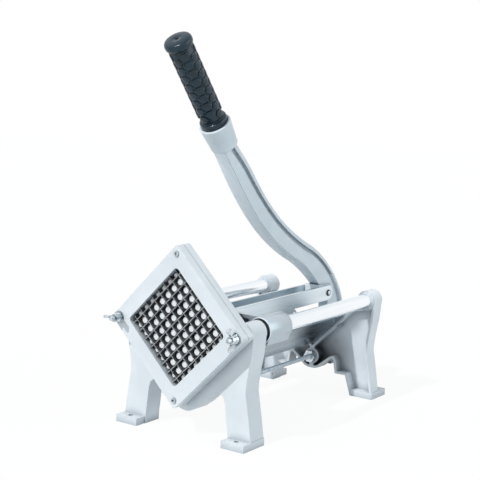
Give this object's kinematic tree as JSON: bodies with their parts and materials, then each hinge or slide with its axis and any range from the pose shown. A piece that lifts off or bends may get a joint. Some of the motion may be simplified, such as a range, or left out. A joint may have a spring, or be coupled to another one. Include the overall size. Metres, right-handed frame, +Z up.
{
  "type": "french fry cutter",
  "caption": "Bench-top lever-operated french fry cutter with a diamond-set blade grid, a pin-faced pusher on two guide rods and a long curved hand lever",
  "frame": {"origin": "on the bench, in the middle of the four foot bolt holes", "axes": "+Z up; -Y is the blade face, from which the fries come out, and +Y is the rear casting with the lever's pivot; +X is the right side seen from the blade face"},
  "size_m": [0.2034, 0.3896, 0.4847],
  "materials": {
    "cast_body": "satin silver coating on cast aluminium",
    "blade_steel": "ground stainless steel",
    "hardware": "bright plated steel",
    "rod_chrome": "polished chrome",
    "trough_sheet": "bright stainless sheet",
    "pusher_metal": "cast aluminium",
    "bush_bronze": "plain sintered bronze",
    "link_steel": "plated steel",
    "grip_rubber": "matte moulded grip with raised pads"
  },
  "bodies": {
    "frame": {"front_casting": "cast_body", "rear_casting": "cast_body", "blade_holder": "cast_body", "blades_rising": "blade_steel", "blades_falling": "blade_steel", "holder_screws": "hardware", "wing_studs": "hardware", "wing_washers": "hardware", "guide_rod_left": "rod_chrome", "guide_rod_right": "rod_chrome", "guide_rod_bolts": "hardware", "guide_rod_washers": "hardware", "tie_rod": "hardware", "tie_rod_nuts": "hardware", "potato_trough": "trough_sheet", "trough_screws": "hardware", "trough_nuts": "hardware", "pivot_bolt": "hardware", "pivot_nut": "hardware"},
    "lever": {"lever_arm": "cast_body", "handle_tube": "link_steel", "grip": "grip_rubber", "link_rear_pin": "hardware"},
    "links": {"link_bar_left": "link_steel", "link_bar_right": "link_steel", "link_front_pin": "hardware"},
    "pusher": {"pusher_crosshead": "cast_body", "pusher_block": "pusher_metal", "pusher_pins": "pusher_metal", "block_screws": "hardware", "sleeve_bush_left": "bush_bronze", "sleeve_bush_right": "bush_bronze"},
    "wing_nut_left": {"wing_nut_left": "hardware"},
    "wing_nut_right": {"wing_nut_right": "hardware"}
  },
  "joints": [
    {"name": "lever_hinge", "type": "hinge", "parent": "frame", "child": "lever", "pos_m": [0, 0.1765, 0.05], "axis": [-1, 0, 0], "range_deg": [0, 80]},
    {"name": "link_hinge", "type": "hinge", "parent": "lever", "child": "links", "pos_m": [0, 0.144, 0.136], "axis": [-1, 0, 0], "range_deg": [-70.3, 0]},
    {"name": "pusher_slide", "type": "slide", "parent": "frame", "child": "pusher", "axis": [0, 1, 0], "range_m": [0, 0.1149]},
    {"name": "left_nut_turn", "type": "hinge", "parent": "frame", "child": "wing_nut_left", "pos_m": [-0.08879, -0.18, 0.136], "axis": [0, 1, 0], "continuous": true},
    {"name": "right_nut_turn", "type": "hinge", "parent": "frame", "child": "wing_nut_right", "pos_m": [0.08879, -0.18, 0.136], "axis": [0, 1, 0], "continuous": true}
  ],
  "couplings": [
    {"joint": "link_hinge", "follows": "lever_hinge", "ratio": -0.87858},
    {"joint": "pusher_slide", "follows": "lever_hinge", "m_per_rad": 0.082269}
  ]
}
